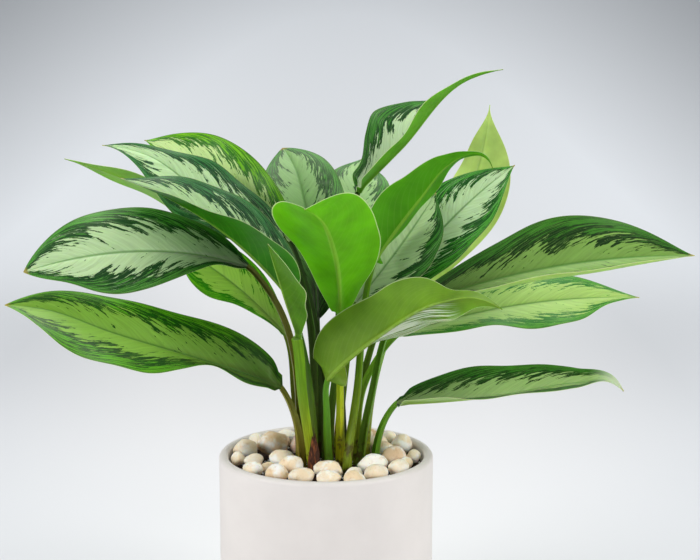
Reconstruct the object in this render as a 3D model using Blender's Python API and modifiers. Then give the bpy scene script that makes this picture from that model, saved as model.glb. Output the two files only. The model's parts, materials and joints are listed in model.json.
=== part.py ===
"""Potted chinese evergreen: a straight ceramic pot of soil, topped with pebbles, and twenty leaves.

Metres, +Z up, the centre of the pot's underside at the origin. Sizes below are in millimetres.
"""
import math

import bmesh
import bpy
from mathutils import Matrix, Vector

# ---------------------------------------------------------------- sizes, in millimetres
MM = 0.001
POT_RADIUS = 90.0          # outside, the wall is straight
POT_HEIGHT = 165.0
POT_WALL = 7.8
POT_FLOOR = 12.0
POT_CORNER = 8.0           # rounding of the corner inside
POT_EDGE = 3.9             # rounding of the rim and of the foot
FIT_GAP = 0.3              # between pieces that touch
SOIL_TOP = 154.0
PETIOLE_FOOT = 4.2         # half width of a leaf stalk where it stands in the soil
PETIOLE_TOP = 2.5          # half width of a leaf stalk where the blade starts
BLADE_RIB = 1.9            # blade thickness at the midrib
BLADE_EDGE = 0.9           # blade thickness at its edge
STALK_RINGS = 5
BLADE_RINGS = 12
HALF_STEPS = 2             # points across each half of a blade
LEAF_TAPER = 1.15          # how drawn out a leaf tip is, where its leaf gives no other
PEBBLE_CLEAR = 0.35        # room kept between two pebbles

# Each leaf grows from its foot on the soil, up its stalk (through a bend where it has one), along
# the points of its blade's midrib to the tip. "face" is the way the upper face looks, "half" the
# greatest half width of the left and the right half, "widest" where along the blade that is,
# "taper" how drawn out the tip is, "trim" shares of the half width, "fold" the rise of each half out
# of flat in degrees, "curl" what that gains from the midrib to the edge, and "ahead" how far each
# margin runs ahead of the midrib as a share of its width. The last four each give a few values that
# lie evenly from the blade's base to its tip. "neck" is the stalk's half width at the blade.
LEAVES = {
    "leaf_01_low_left": dict(
        foot=(-20, -20), bend=None, face=(0.1, -0.62, 0.79), half=(44, 41), widest=0.4, taper=0.85,
        blade=[(-37, -15, 224), (-72, -23, 240), (-103, -30, 252), (-169, -48, 277),
               (-221, -62, 299), (-251, -70, 304)],
        fold=((32, 16), (34, 17)), curl=((-10, -10), (-30, -20)),
        trim=((0.4, 0.45, 0.15, 0.55, 0.98, 1.2, 1.45, 1.5, 1), (1, 0.9, 0.85, 0.95, 1))),
    "leaf_02_mid_left": dict(
        foot=(-22, -8), bend=(-48, -10, 306), face=(-0.15, -0.85, 0.5), half=(39, 39), widest=0.52,
        blade=[(-64, -16, 326), (-144, -65, 346), (-227, -110, 337)], taper=0.85,
        fold=((14, 7), (12, 6)), curl=((-20, -20), (-20, -20)),
        trim=((0.5, 0.25, 0.45, 0.66, 0.85, 0.95, 0.97, 0.85, 1), (1, 1, 1.02, 1.06, 1.1))),
    "leaf_03_far_left": dict(
        foot=(-18, 17), bend=None, face=(-0.2, 0.5, 0.85), half=(20, 30), widest=0.42,
        blade=[(-45, 27, 327), (-134, 40, 376), (-223, 56, 407)],
        fold=((20, 10), (20, 10)), curl=((-15, -15), (-15, -15))),
    "leaf_04_upper_left": dict(
        foot=(-11, -4), bend=None, face=(0.1, -0.7, 0.7), half=(34, 34), widest=0.45,
        blade=[(-36, 6, 346), (-104, 14, 384), (-147, 20, 413), (-186, 26, 421)],
        fold=((15, 8), (15, 8)), curl=((-15, -15), (-15, -15)),
        trim=((1, 1, 1, 0.75, 0.4), (1, 0.85, 0.9, 0.5, 0.6))),
    "leaf_05_trough_left": dict(
        foot=(-8, -16), bend=None, face=(0.55, -0.1, 0.8), half=(44, 42), widest=0.42,
        blade=[(-29, -22, 300), (-86, -35, 360), (-159, -60, 403)],
        fold=((72, 40, 24), (60, 40, 22)), curl=((-15, -15), (-15, -15))),
    "leaf_06_back_left": dict(
        foot=(0, 5), bend=None, face=(0.0, -0.95, 0.35), half=(18, 33), widest=0.5,
        blade=[(-30, 22, 341), (-90, 56, 388), (-160, 98, 419)],
        fold=((25, 12), (25, 12)), curl=((-15, -15), (-15, -15))),
    "leaf_07_back": dict(
        foot=(-4, 20), bend=None, face=(0.1, -0.8, 0.6), half=(37, 37), widest=0.6, taper=0.8,
        blade=[(-8, 27, 272), (-20, 72, 371), (-29, 100, 396), (-40, 122, 410)],
        fold=((22, 11), (18, 9)), curl=((-15, -15), (-15, -15)),
        trim=((1, 1.1, 1.05, 1, 1), (1.5, 1.4, 1, 1, 1.15))),
    "leaf_08_front": dict(
        foot=(12, -20), bend=None, face=(0.0, 0.7, 0.7), half=(43, 43), widest=0.45,
        blade=[(12, -24, 287), (8, -72, 345), (-1, -113, 376), (-13, -150, 390)],
        fold=((14, 36), (16, 40)), curl=((5, 5), (5, 5)),
        trim=((0.6, 0.6, 0.8, 0.92, 0.92, 0.98, 1.06, 1.1, 1.1),
              (0.6, 0.6, 0.66, 0.86, 1.18, 1.38, 1.28, 1.05, 0.8)),
        ahead=((0, 0, 0, 0.1, 0.35), (0, 0, 0, -0.1, 0.25))),
    "leaf_09_top_right": dict(
        foot=(13, 15), bend=None, face=(-0.6, 0.0, 0.8), half=(42, 22), widest=0.25,
        blade=[(26, 26, 382), (62, 32, 417), (119, 24, 476), (146, 20, 484)],
        fold=((58, 34, 5), (27, 36, 40)), curl=((-5, -5), (-5, -5)),
        trim=((0.5, 0.5, 0.95, 1.38, 1.1, 0.2, 0.12, 0.2, 0.5),
              (1, 0.8, 0.65, 0.7, 0.85, 0.92, 0.8, 0.7, 0.7))),
    "leaf_10_back_small": dict(
        foot=(10, 27), bend=None, face=(0.0, -0.8, 0.6), half=(32, 32), widest=0.6,
        blade=[(23, 36, 298), (25, 88, 373), (31, 128, 400)],
        fold=((20, 10), (20, 10)), curl=((-15, -15), (-15, -15))),
    "leaf_11_curled_right": dict(
        foot=(18, -31), bend=(26, -16, 219), face=(-0.1, 0.95, 0.3), half=(22, 31), widest=0.35,
        blade=[(40, -10, 329), (78, -3, 380), (99, -6, 407), (113, -10, 416), (127, -14, 417),
               (135, -20, 406)],
        fold=((75, 38), (8, 4)), curl=((-15, -15), (-15, -15)),
        trim=((1, 1, 0.9, 0.5, 0.3), (1, 1, 1, 0.95, 0.8, 0.62, 0.4, 0.2, 0.3))),
    "leaf_12_upper_right": dict(
        foot=(22, 9), bend=None, face=(-0.3, -0.8, 0.5), half=(33, 33), widest=0.5,
        blade=[(52, 25, 290), (110, 45, 360), (161, 60, 401)],
        fold=((20, 10), (20, 10)), curl=((-15, -15), (-15, -15))),
    "leaf_13_back_right": dict(
        foot=(33, 14), bend=None, face=(0.4, 0.8, 0.1), half=(42, 42), widest=0.42, taper=1.7,
        blade=[(66, 42, 290), (121, 80, 364), (142, 95, 450)],
        fold=((12, 6), (55, 28)), curl=((-15, -15), (-15, -15)),
        trim=((0.3, 0.36, 0.46, 0.6, 0.76, 0.92, 1.1, 1.3, 1.4),
              (1, 0.9, 0.85, 0.85, 0.85, 0.85, 0.9, 1.2, 1.4))),
    "leaf_14_inner_right": dict(
        foot=(3, -11), bend=None, face=(-0.3, -0.8, 0.5), half=(34, 34), widest=0.5,
        blade=[(25, 5, 292), (62, 20, 337), (93, 44, 379)],
        fold=((35, 18), (15, 8)), curl=((-15, -15), (-15, -15))),
    "leaf_15_long_right": dict(
        foot=(29, -17), bend=(38, -13, 217), face=(0.0, -0.6, 0.8), half=(45, 45), widest=0.55,
        blade=[(60, -4, 286), (176, -18, 324), (298, -30, 337)],
        fold=((35, 18), (12, 6)), curl=((-15, -15), (60, 60)),
        trim=((0.6, 0.58, 0.65, 0.78, 0.93, 1, 1.02, 1, 1), (1, 1))),
    "leaf_16_right": dict(
        foot=(27, -3), bend=(33, 6, 223), face=(0.0, -0.6, 0.8), half=(34, 34), widest=0.5,
        blade=[(60, 20, 261), (170, 45, 283), (271, 60, 286)],
        fold=((15, 8), (15, 8)), curl=((-15, -15), (-15, -15)),
        trim=((1, 1), (0.6, 0.6, 0.6, 0.62, 0.85, 0.92, 0.95, 0.5, 0.5))),
    "leaf_17_low_right": dict(
        foot=(40, -12), bend=None, face=(0.0, -0.5, 0.85), half=(30, 30), widest=0.45,
        blade=[(59, -15, 211), (141, -45, 225), (200, -64, 240), (226, -71, 243), (236, -76, 236)],
        fold=((32, 16), (55, 28)), curl=((-10, -10), (-5, -5)),
        trim=((1, 1, 1, 0.97, 0.9, 0.82, 0.8, 0.92, 1.3), (1, 1))),
    "leaf_18_front_right": dict(
        foot=(2, -27), bend=(1, -36, 203), face=(0.1, 0.95, -0.1), half=(31, 42), widest=0.3,
        blade=[(2, -41, 237), (44, -65, 278), (89, -97, 311), (117, -118, 318), (134, -130, 312)],
        fold=((112, 18), (12, 60)), curl=((-20, -20), (-10, -10)),
        trim=((1, 1), (0.95, 0.93, 0.85, 0.8, 0.88, 0.8, 0.42, 0.6, 0.8))),
    "leaf_19_lower_left": dict(
        foot=(-22, 5), bend=(-27, 15, 210), face=(-0.1, -0.7, 0.7), half=(26, 26), widest=0.58,
        blade=[(-34, 13, 263), (-77, 26, 303), (-128, 44, 333)],
        fold=((15, 8), (22, 11)), curl=((-15, -15), (-15, -15)),
        trim=((0.5, 0.4, 0.45, 0.6, 0.8, 0.93, 1, 1, 1), (1, 1))),
    "leaf_20_rolled": dict(
        foot=(-10, -30), bend=(-17, -40, 227), face=(0.95, 0.1, 0.3), half=(25, 25), widest=0.6,
        blade=[(-21, -44, 273), (-33, -67, 315), (-43, -86, 355)],
        fold=((52, 26), (50, 25)), curl=((-10, -10), (-10, -10)), neck=5.2,
        trim=((1, 1, 1.1, 1.4, 1.9), (1, 0.9, 0.8, 0.7, 0.7))),
}

# Pebbles lie on the soil: centre, length, width, height and turn in degrees, before they settle.
PEBBLES = [
    (-70, 18, 23.8, 18.4, 17.4, 20), (-60, -14, 18.4, 13, 12.8, 30), (-58, 44, 17.3, 14, 15.1, -30),
    (-50, 56, 15.1, 13, 12.8, 60), (-46, 27, 29.2, 20.5, 20.9, 10), (-48, -30, 13, 10.8, 10.4, 10),
    (-36, -14, 22.7, 16.2, 16.2, -15), (-29, 31, 17.3, 15.1, 16.2, 40),
    (-23, -34, 23.8, 17.3, 17.4, 15), (-36, 64, 19.4, 14, 12.8, 20), (-38, 47, 15.1, 11.9, 12.8, -60),
    (3, -42, 25.9, 16.2, 16.2, -15), (20, -48, 16.2, 11.9, 11.6, 20), (37, -29, 27, 19.4, 17.4, -10),
    (53, -9, 23.8, 18.4, 17.4, 25), (54, 48, 18.4, 15.1, 15.1, -20), (65, 30, 21.6, 17.3, 17.4, 50),
    (73, 2, 15.1, 11.9, 11.6, 60), (66, -18, 14, 10.8, 11.6, 60), (37, 66, 18.4, 15.1, 13.9, 20),
    (-38, -53, 21.6, 16.2, 15.1, -30), (-18, -61, 22.7, 17.3, 15.1, 15),
    (2, -65, 21.6, 16.2, 13.9, -10), (22, -67, 19.4, 15.1, 13.9, 10), (41, -54, 22.7, 17.3, 15.1, 40),
    (57, -37, 20.5, 16.2, 15.1, 60), (-59, -39, 19.4, 15.1, 13.9, 45), (-75, -6, 15.1, 11.9, 12.8, 85),
    (50, 11, 21.6, 16.2, 16.2, -25), (44, 30, 21.6, 17.3, 16.2, 70), (24, 44, 22.7, 17.3, 15.1, 20),
    (4, 47, 21.6, 16.2, 15.1, -20), (-16, 45, 20.5, 16.2, 15.1, 10), (-17, 67, 21.6, 16.2, 15.1, 15),
    (4, 69, 22.7, 17.3, 15.1, -10), (21, 63, 17.3, 13, 12.8, 70),
]
SHEATH = dict(leaf="leaf_20_rolled", top=42.0, inside=5.4, wall=1.0, open_from=150, open_to=250)

COLOURS = {  # linear base colour and roughness of each kind of piece
    "pot": ((0.72, 0.70, 0.67, 1), 0.55),
    "potting_soil": ((0.03, 0.02, 0.013, 1), 0.95),
    "pebble": ((0.62, 0.53, 0.41, 1), 0.6),
    "leaf": ((0.10, 0.26, 0.05, 1), 0.4),
    "dry_sheath": ((0.13, 0.05, 0.02, 1), 0.8),
}

# ---------------------------------------------------------------- scene
for thing in list(bpy.data.objects):
    bpy.data.objects.remove(thing, do_unlink=True)
home = bpy.data.collections.new("potted_chinese_evergreen")
bpy.context.scene.collection.children.link(home)


def material(kind):
    made = bpy.data.materials.get("mat_" + kind)
    if made is None:
        made = bpy.data.materials.new("mat_" + kind)
        made.use_nodes = True
        shader = made.node_tree.nodes["Principled BSDF"]
        shader.inputs["Base Color"].default_value = COLOURS[kind][0]
        shader.inputs["Roughness"].default_value = COLOURS[kind][1]
    return made


def add(name, mesh, kind):
    """A named piece of one material, smooth shaded."""
    piece = bpy.data.objects.new(name, mesh)
    home.objects.link(piece)
    mesh.materials.append(material(kind))
    for face in mesh.polygons:
        face.use_smooth = True
    return piece


def turned(name, profile, steps, kind):
    """A profile of (radius, height), run down its outer side, turned about Z."""
    mesh = bpy.data.meshes.new(name)
    points = [(r * MM, 0.0, z * MM) for r, z in profile]
    mesh.from_pydata(points, [(i, i + 1) for i in range(len(points) - 1)], [])
    piece = bpy.data.objects.new(name, mesh)
    home.objects.link(piece)
    screw = piece.modifiers.new("turn", "SCREW")
    screw.steps = screw.render_steps = steps
    screw.use_merge_vertices = True
    screw.merge_threshold = 0.0001
    screw.use_smooth_shade = True
    mesh.materials.append(material(kind))
    return piece


# ---------------------------------------------------------------- pot and soil
def inner_corner(radius):
    """The rounded corner inside the pot, from its floor up to its wall."""
    turns = [math.radians(d) for d in (-90, -60, -30, 0)]
    return [(radius - POT_CORNER + POT_CORNER * math.cos(a), POT_CORNER + POT_CORNER * math.sin(a))
            for a in turns]


def pot_profile():
    """Down the outside from the rim, across the underside and back up the inside."""
    rim = POT_WALL / 2
    middle = POT_RADIUS - rim
    inside = POT_RADIUS - POT_WALL
    points = [(middle + rim * math.cos(a), POT_HEIGHT - rim + rim * math.sin(a))
              for a in (math.radians(d) for d in (90, 60, 30, 0))]
    points += [(POT_RADIUS - POT_EDGE + POT_EDGE * math.cos(a), POT_EDGE + POT_EDGE * math.sin(a))
               for a in (math.radians(d) for d in (0, -30, -60, -90))]
    points += [(0, 0), (0, POT_FLOOR)]
    points += [(r, z + POT_FLOOR) for r, z in inner_corner(inside)]
    points += [(middle + rim * math.cos(a), POT_HEIGHT - rim + rim * math.sin(a))
               for a in (math.radians(d) for d in (180, 150, 120, 90))]
    return points


turned("pot", pot_profile(), 56, "pot")
inner = POT_RADIUS - POT_WALL - FIT_GAP
corner = [(r, z + POT_FLOOR + FIT_GAP) for r, z in reversed(inner_corner(inner))]
turned("potting_soil", [(0, SOIL_TOP), (inner, SOIL_TOP)] + corner + [(0, POT_FLOOR + FIT_GAP)],
       56, "potting_soil")


# ---------------------------------------------------------------- leaves
def tangents(knots, first=None, last=None):
    """The direction of a smooth curve at each of its points."""
    ways = [None] * len(knots)
    for i in range(1, len(knots) - 1):
        back, ahead = knots[i] - knots[i - 1], knots[i + 1] - knots[i]
        ways[i] = (back.normalized() * ahead.length + ahead.normalized() * back.length).normalized()
    start, end = (knots[1] - knots[0]).normalized(), (knots[-1] - knots[-2]).normalized()
    ways[0] = (first or 2 * start - (ways[1] or start)).normalized()
    ways[-1] = (last or 2 * end - (ways[-2] or end)).normalized()
    return ways


def along(knots, ways, count):
    """Points evenly spaced by chord along the smooth curve through the knots."""
    reach = [0.0]
    for a, b in zip(knots, knots[1:]):
        reach.append(reach[-1] + (b - a).length)
    points = []
    for step in range(count + 1):
        x = reach[-1] * step / count
        i = max(k for k in range(len(knots) - 1) if reach[k] <= x + 1e-9 or k == 0)
        d = reach[i + 1] - reach[i]
        t = (x - reach[i]) / d
        points.append((2 * t**3 - 3 * t**2 + 1) * knots[i] + (t**3 - 2 * t**2 + t) * d * ways[i]
                      + (3 * t**2 - 2 * t**3) * knots[i + 1] + (t**3 - t**2) * d * ways[i + 1])
    return points


def spine(leaf):
    """The leaf's middle line: the stalk from the soil, then the midrib to the tip."""
    blade = [Vector(p) for p in leaf["blade"]]
    blade_ways = tangents(blade)
    foot = Vector((*leaf["foot"], SOIL_TOP + FIT_GAP))
    stalk = [foot] + ([Vector(leaf["bend"])] if leaf["bend"] else []) + [blade[0]]
    arrive = 0.5 * blade_ways[0] + 0.7 * (stalk[-1] - stalk[-2]).normalized()
    stalk_ways = tangents(stalk, first=Vector((0, 0, 1)), last=arrive)
    return along(stalk, stalk_ways, STALK_RINGS)[:-1] + along(blade, blade_ways, BLADE_RINGS)


def frames(points, face):
    """The tangent and the upper face's direction at each point, the stalk's carried down from the blade."""
    ways = []
    for i in range(len(points)):
        a, b = points[max(i - 1, 0)], points[min(i + 1, len(points) - 1)]
        ways.append((b - a).normalized())
    ways[0] = Vector((0, 0, 1))
    tops = [None] * len(points)
    for i in range(STALK_RINGS, len(points)):
        tops[i] = (face - ways[i] * face.dot(ways[i])).normalized()
    for i in range(STALK_RINGS - 1, -1, -1):
        tops[i] = (tops[i + 1] - ways[i] * tops[i + 1].dot(ways[i])).normalized()
    return ways, tops


def spread(values, share):
    """A smooth curve through values that lie evenly from 0 to 1."""
    x = share * (len(values) - 1)
    i = min(int(x), len(values) - 2)
    t = x - i
    a, b = values[i], values[i + 1]
    before = values[i - 1] if i > 0 else 2 * a - b
    after = values[i + 2] if i + 2 < len(values) else 2 * b - a
    return 0.5 * (2 * a + (b - before) * t + (2 * before - 5 * a + 4 * b - after) * t**2
                  + (3 * a - before - 3 * b + after) * t**3)


def half_width(share, widest, taper):
    """How wide the blade is, as a share of its greatest half width, 0 at its base and 1 at its tip."""
    turn = math.pi * min(1.0, share ** (math.log(0.5) / math.log(widest)))
    return max(0.0, math.sin(turn)) ** (0.6 + (taper - 0.6) * share**3)


def leaf_mesh(name, leaf):
    """One closed loft: a flattened stalk that opens into the folded blade."""
    points = spine(leaf)
    ways, tops = frames(points, Vector(leaf["face"]).normalized())
    neck = leaf.get("neck", PETIOLE_TOP)
    taper = leaf.get("taper", LEAF_TAPER)
    trim = leaf.get("trim", ((1, 1), (1, 1)))
    run = leaf.get("ahead", ((0, 0), (0, 0)))
    shape = bmesh.new()
    rings = []
    for i, (point, way, top) in enumerate(zip(points, ways, tops)):
        side = way.cross(top)
        if i < STALK_RINGS:
            wide = neck + (PETIOLE_FOOT - neck) * (1 - i / STALK_RINGS)
            widths, rise, gain, rib, edge = (wide, wide), (0, 0), (0, 0), 1.5 * wide, 0.8 * wide
            ahead = (0, 0)
        else:
            share = (i - STALK_RINGS) / BLADE_RINGS
            plain = half_width(share, leaf["widest"], taper)
            widths = [max(h * plain * spread(t, share), 1.0) for h, t in zip(leaf["half"], trim)]
            rise = [spread(values, share) for values in leaf["fold"]]
            gain = [spread(values, share) for values in leaf["curl"]]
            ahead = [spread(values, share) for values in run]
            rib, edge = BLADE_RIB, BLADE_EDGE
            if share == 0:
                widths = (neck + 0.5,) * 2
                rise, gain, rib, edge = (10, 10), (0, 0), 3.2, 1.8
        upper, lower = [], []
        for sign, width, fold, curl, lead in zip((-1, 1), widths, rise, gain, ahead):
            place, row = point.copy(), []
            for j in range(HALF_STEPS):
                angle = math.radians(fold + curl * (j + 0.5) / HALF_STEPS)
                out = sign * side * math.cos(angle) + top * math.sin(angle)
                out += way * lead
                normal = top * math.cos(angle) - sign * side * math.sin(angle)
                place = place + out * width / HALF_STEPS
                thick = rib + (edge - rib) * (j + 1) / HALF_STEPS
                row.append((place + normal * thick / 2, place - normal * thick / 2))
            if sign < 0:
                row.reverse()
                row.append((point + top * rib / 2, point - top * rib / 2))
            upper += [u for u, _ in row]
            lower += [d for _, d in row]
        rings.append([shape.verts.new(p * MM) for p in upper + lower[::-1]])
    count = len(rings[0])
    for a, b in zip(rings, rings[1:]):
        for k in range(count):
            shape.faces.new((a[k], a[(k + 1) % count], b[(k + 1) % count], b[k]))
    for ring in (rings[0], rings[-1]):
        for k in range(count // 2 - 1):
            shape.faces.new((ring[k], ring[k + 1], ring[count - 2 - k], ring[count - 1 - k]))
    bmesh.ops.recalc_face_normals(shape, faces=shape.faces)
    bmesh.ops.triangulate(shape, faces=shape.faces)
    mesh = bpy.data.meshes.new(name)
    shape.to_mesh(mesh)
    shape.free()
    return mesh


for leaf_name, leaf in LEAVES.items():
    add(leaf_name, leaf_mesh(leaf_name, leaf), "leaf")


# ---------------------------------------------------------------- dry sheath at a stalk's foot
def sheath_mesh(name):
    """A dead leaf base: an open papery tube, pointed at its top, standing round one stalk."""
    leaf = LEAVES[SHEATH["leaf"]]
    points = spine(leaf)[:3]
    ways = tangents(points, first=Vector((0, 0, 1)))
    line = along(points, ways, 12)
    shape = bmesh.new()
    rings = []
    for level in range(5):
        height = SHEATH["top"] * level / 4
        z = SOIL_TOP + FIT_GAP + height
        below = max((p for p in line if p.z <= z + 0.001), key=lambda p: p.z)
        above = min((p for p in line if p.z > z + 0.001), key=lambda p: p.z)
        share = (z - below.z) / (above.z - below.z)
        middle = below.lerp(above, share)
        opening = (100 - 70 * (level / 4) ** 1.5) * math.pi / 180
        heading = math.radians(-60)
        arc = [heading - opening + 2 * opening * k / 6 for k in range(7)]
        inside = SHEATH["inside"] + 0.4
        ring = [middle + inside * Vector((math.cos(a), math.sin(a), 0)) for a in arc]
        ring += [middle + (inside + SHEATH["wall"]) * Vector((math.cos(a), math.sin(a), 0))
                 for a in reversed(arc)]
        rings.append([shape.verts.new(Vector((p.x, p.y, z)) * MM) for p in ring])
    count = len(rings[0])
    for a, b in zip(rings, rings[1:]):
        for k in range(count):
            shape.faces.new((a[k], a[(k + 1) % count], b[(k + 1) % count], b[k]))
    for ring in (rings[0], rings[-1]):
        for k in range(count // 2 - 1):
            shape.faces.new((ring[k], ring[k + 1], ring[count - 2 - k], ring[count - 1 - k]))
    bmesh.ops.recalc_face_normals(shape, faces=shape.faces)
    bmesh.ops.triangulate(shape, faces=shape.faces)
    mesh = bpy.data.meshes.new(name)
    shape.to_mesh(mesh)
    shape.free()
    return mesh


add("dry_sheath", sheath_mesh("dry_sheath"), "dry_sheath")


# ---------------------------------------------------------------- pebbles
def reach(pebble, direction):
    """How far a pebble's outline reaches in plan along a direction."""
    turn = math.radians(pebble[5])
    along_it = direction.x * math.cos(turn) + direction.y * math.sin(turn)
    across = -direction.x * math.sin(turn) + direction.y * math.cos(turn)
    return math.hypot(pebble[2] / 2 * along_it, pebble[3] / 2 * across)


def settle(pebbles, stalks, rounds=400):
    """Push overlapping pebbles apart, off the stalks and in from the pot's wall."""
    places = [Vector((p[0], p[1])) for p in pebbles]
    limit = POT_RADIUS - POT_WALL - PEBBLE_CLEAR
    for _ in range(rounds):
        for i, pebble in enumerate(pebbles):
            for k in range(i + 1, len(pebbles)):
                gap = places[k] - places[i]
                way = gap.normalized()
                short = reach(pebble, way) + reach(pebbles[k], way) + PEBBLE_CLEAR - gap.length
                if short > 0:
                    places[i] -= way * short * 0.5
                    places[k] += way * short * 0.5
            for centre, radius in stalks:
                gap = places[i] - centre
                way = gap.normalized()
                short = reach(pebble, way) + radius + PEBBLE_CLEAR - gap.length
                if short > 0:
                    places[i] += way * short
            way = places[i].normalized()
            over = places[i].length + max(pebble[2], pebble[3]) / 2 - limit
            if over > 0:
                places[i] -= way * over
    return places


def pebble_mesh(name, pebble, place):
    """A stone worn smooth: a ball drawn out to its length, width and height."""
    shape = bmesh.new()
    bmesh.ops.create_icosphere(shape, subdivisions=2, radius=0.5)
    size = Matrix.Diagonal((pebble[2] * MM, pebble[3] * MM, pebble[4] * MM, 1))
    turn = Matrix.Rotation(math.radians(pebble[5]), 4, "Z")
    bmesh.ops.transform(shape, matrix=turn @ size, verts=shape.verts)
    low = min(v.co.z for v in shape.verts)
    lift = Vector((place.x * MM, place.y * MM, (SOIL_TOP + FIT_GAP) * MM - low))
    bmesh.ops.translate(shape, vec=lift, verts=shape.verts)
    mesh = bpy.data.meshes.new(name)
    shape.to_mesh(mesh)
    shape.free()
    return mesh


stalk_places = []
for leaf in LEAVES.values():
    line = spine(leaf)
    for share in (0.0, 0.5):
        stalk_places.append((line[0].lerp(line[1], share).to_2d(), PETIOLE_FOOT + 1.2))
sheath_foot = spine(LEAVES[SHEATH["leaf"]])[0].to_2d()
stalk_places.append((sheath_foot, SHEATH["inside"] + SHEATH["wall"] + 1.2))
for number, (pebble, place) in enumerate(zip(PEBBLES, settle(PEBBLES, stalk_places)), 1):
    pebble_name = f"pebble_{number:02d}"
    add(pebble_name, pebble_mesh(pebble_name, pebble, place), "pebble")
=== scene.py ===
"""The looks of a potted chinese evergreen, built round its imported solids. Metres, +Z up."""
import json
import math

import bmesh
import bpy
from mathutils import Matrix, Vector, noise

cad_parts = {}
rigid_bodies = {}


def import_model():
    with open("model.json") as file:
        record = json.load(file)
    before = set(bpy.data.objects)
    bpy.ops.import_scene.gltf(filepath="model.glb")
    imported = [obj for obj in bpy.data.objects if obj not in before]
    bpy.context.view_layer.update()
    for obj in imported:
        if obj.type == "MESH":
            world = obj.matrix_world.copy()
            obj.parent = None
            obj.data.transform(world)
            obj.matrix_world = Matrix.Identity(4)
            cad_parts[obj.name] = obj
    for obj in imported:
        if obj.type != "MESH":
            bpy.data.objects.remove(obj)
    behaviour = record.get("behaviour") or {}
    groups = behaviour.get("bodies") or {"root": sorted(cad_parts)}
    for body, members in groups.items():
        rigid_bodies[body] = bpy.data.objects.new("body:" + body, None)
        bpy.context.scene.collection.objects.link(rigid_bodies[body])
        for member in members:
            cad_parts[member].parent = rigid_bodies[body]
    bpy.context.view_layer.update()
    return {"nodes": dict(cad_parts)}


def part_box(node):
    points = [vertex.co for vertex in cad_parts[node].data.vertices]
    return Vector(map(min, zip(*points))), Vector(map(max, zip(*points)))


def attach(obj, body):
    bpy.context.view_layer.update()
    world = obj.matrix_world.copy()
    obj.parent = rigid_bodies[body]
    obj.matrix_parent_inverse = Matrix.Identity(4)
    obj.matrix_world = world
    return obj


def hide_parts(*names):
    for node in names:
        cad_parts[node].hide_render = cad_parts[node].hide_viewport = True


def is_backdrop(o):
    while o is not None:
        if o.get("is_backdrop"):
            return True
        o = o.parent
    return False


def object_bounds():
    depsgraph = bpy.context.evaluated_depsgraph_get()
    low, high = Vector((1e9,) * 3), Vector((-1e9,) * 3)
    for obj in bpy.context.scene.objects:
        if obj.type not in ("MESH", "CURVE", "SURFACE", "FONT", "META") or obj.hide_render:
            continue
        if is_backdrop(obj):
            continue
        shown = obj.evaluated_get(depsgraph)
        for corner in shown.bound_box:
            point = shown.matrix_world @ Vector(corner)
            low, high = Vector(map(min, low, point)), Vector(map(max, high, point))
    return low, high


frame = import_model()
MM = 0.001

# ---------------------------------------------------------------- pot
# The pot is slip-cast stoneware: a straight round wall with a full rounded lip and a flat foot.
# Its off-white glaze is matte and a little uneven, and the ring that it stands on is left bare.
POT_WALL = 7.8 * MM
POT_FLOOR = 12.0 * MM
POT_CORNER = 8.0 * MM      # rounding of the corner inside
POT_EDGE = 3.9 * MM
pot_low, pot_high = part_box("pot")
POT_RADIUS = (pot_high.x - pot_low.x) / 2
POT_TOP = pot_high.z


def linear(hex_colour):
    """An sRGB hex colour as the linear values that a shader takes."""
    parts = [int(hex_colour[i:i + 2], 16) / 255 for i in (1, 3, 5)]
    return (*[p / 12.92 if p <= 0.04045 else ((p + 0.055) / 1.055) ** 2.4 for p in parts], 1.0)


def feed(node, inputs):
    """Sets each input of a node: a plain value, or a link from a socket or from a node's output."""
    for key, value in inputs.items() if isinstance(inputs, dict) else enumerate(inputs):
        if isinstance(value, bpy.types.Node):
            value = next(each for each in value.outputs if each.enabled)
        if isinstance(value, bpy.types.NodeSocket):
            node.id_data.links.new(value, node.inputs[key])
        else:
            node.inputs[key].default_value = value
    return node


def put(tree, kind, inputs=(), stops=(), **settings):
    """Adds a node with its settings, its colour stops as (place, hex colour), and its inputs."""
    node = tree.nodes.new(kind if "Node" in kind else "ShaderNode" + kind)
    for key, value in settings.items():
        setattr(node, key, value)
    for i, (place, colour) in enumerate(stops):
        stop = node.color_ramp.elements[i] if i < 2 else node.color_ramp.elements.new(place)
        stop.position, stop.color = place, linear(colour)
    return feed(node, inputs)


def new_finish(name):
    """A new material: itself, its tree, its shader, and the piece's own coordinates in metres."""
    made = bpy.data.materials.new(name)
    made.use_nodes = True
    tree = made.node_tree
    return made, tree, tree.nodes["Principled BSDF"], put(tree, "TexCoord").outputs["Object"]


def add_piece(name, mesh, materials, node_name):
    """A finished piece that stands for a CAD node, hung on the root body."""
    piece = bpy.data.objects.new(name, mesh)
    bpy.context.scene.collection.objects.link(piece)
    for each in materials:
        mesh.materials.append(each)
    mesh.polygons.foreach_set("use_smooth", [True] * len(mesh.polygons))
    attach(piece, "root")
    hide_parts(node_name)


def arc(centre, radius, start, end, steps):
    """Points (r, z) on an arc, angles in degrees."""
    turns = [math.radians(start + (end - start) * i / steps) for i in range(steps + 1)]
    return [(centre[0] + radius * math.cos(a), centre[1] + radius * math.sin(a)) for a in turns]


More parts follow.
